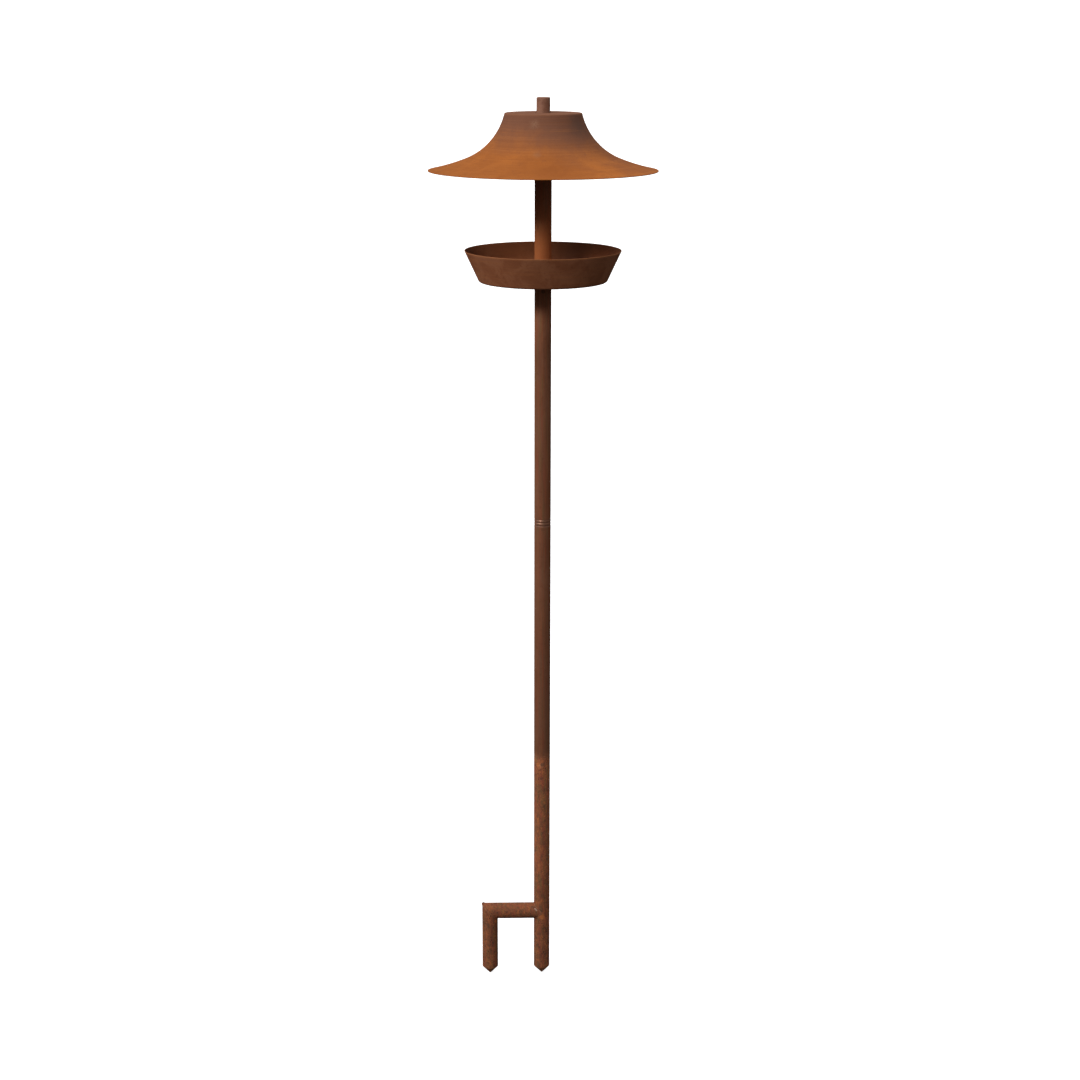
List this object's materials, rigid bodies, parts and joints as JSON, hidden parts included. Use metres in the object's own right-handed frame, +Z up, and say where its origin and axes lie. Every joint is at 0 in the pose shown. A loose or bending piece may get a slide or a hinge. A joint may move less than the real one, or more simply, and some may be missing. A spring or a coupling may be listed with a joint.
{
  "type": "bird feeder stake",
  "caption": "Rusted steel bird feeder: an open seed tray under a flared roof on a sectional tube stake with a two-prong ground fork.",
  "frame": {"origin": "on the pole's axis at the underside of the fork's crossbar, which is the soil line when the fork is pushed in", "axes": "+Z up along the pole; the side prong is on the -X side; +Y points to the back"},
  "size_m": [0.2932, 0.2932, 1.2085],
  "materials": {
    "rust_pole": "smooth dark brown rust with fine streaks along the tube",
    "rust_fork": "rough mottled rust with pits and orange patches",
    "rust_roof": "matt orange rust that turns brown towards the crown",
    "rust_tray": "matt dark brown rust, a little lighter on the rim",
    "rust_spigot": "turned steel pin with a thin brown rust",
    "rust_weld": "rippled weld bead under rust"
  },
  "bodies": {
    "ground_fork": {"fork_stem": "rust_fork", "fork_crossbar": "rust_fork", "fork_side_prong": "rust_fork", "fork_stem_point": "rust_fork", "fork_side_point": "rust_fork", "fork_crossbar_weld": "rust_weld", "fork_corner_weld": "rust_weld", "fork_spigot": "rust_spigot", "fork_plug_welds": "rust_weld"},
    "middle_section": {"middle_tube": "rust_pole", "middle_spigot": "rust_spigot", "middle_plug_welds": "rust_weld"},
    "upper_section": {"upper_tube": "rust_pole", "upper_spigot": "rust_spigot", "upper_plug_welds": "rust_weld"},
    "tray": {"seed_tray": "rust_tray"},
    "top_section": {"top_tube": "rust_pole", "top_spigot": "rust_spigot", "top_plug_welds": "rust_weld"},
    "roof_shell": {"roof": "rust_roof"}
  },
  "joints": [
    {"name": "middle_section_lift", "type": "slide", "parent": "ground_fork", "child": "middle_section", "axis": [0, 0, 1], "range_m": [0, 0.03]},
    {"name": "upper_section_lift", "type": "slide", "parent": "middle_section", "child": "upper_section", "axis": [0, 0, 1], "range_m": [0, 0.03]},
    {"name": "tray_lift", "type": "slide", "parent": "upper_section", "child": "tray", "axis": [0, 0, 1], "range_m": [0, 0.03]},
    {"name": "top_section_lift", "type": "slide", "parent": "tray", "child": "top_section", "axis": [0, 0, 1], "range_m": [0, 0.05]},
    {"name": "roof_lift", "type": "slide", "parent": "top_section", "child": "roof_shell", "axis": [0, 0, 1], "range_m": [0, 0.1]}
  ]
}
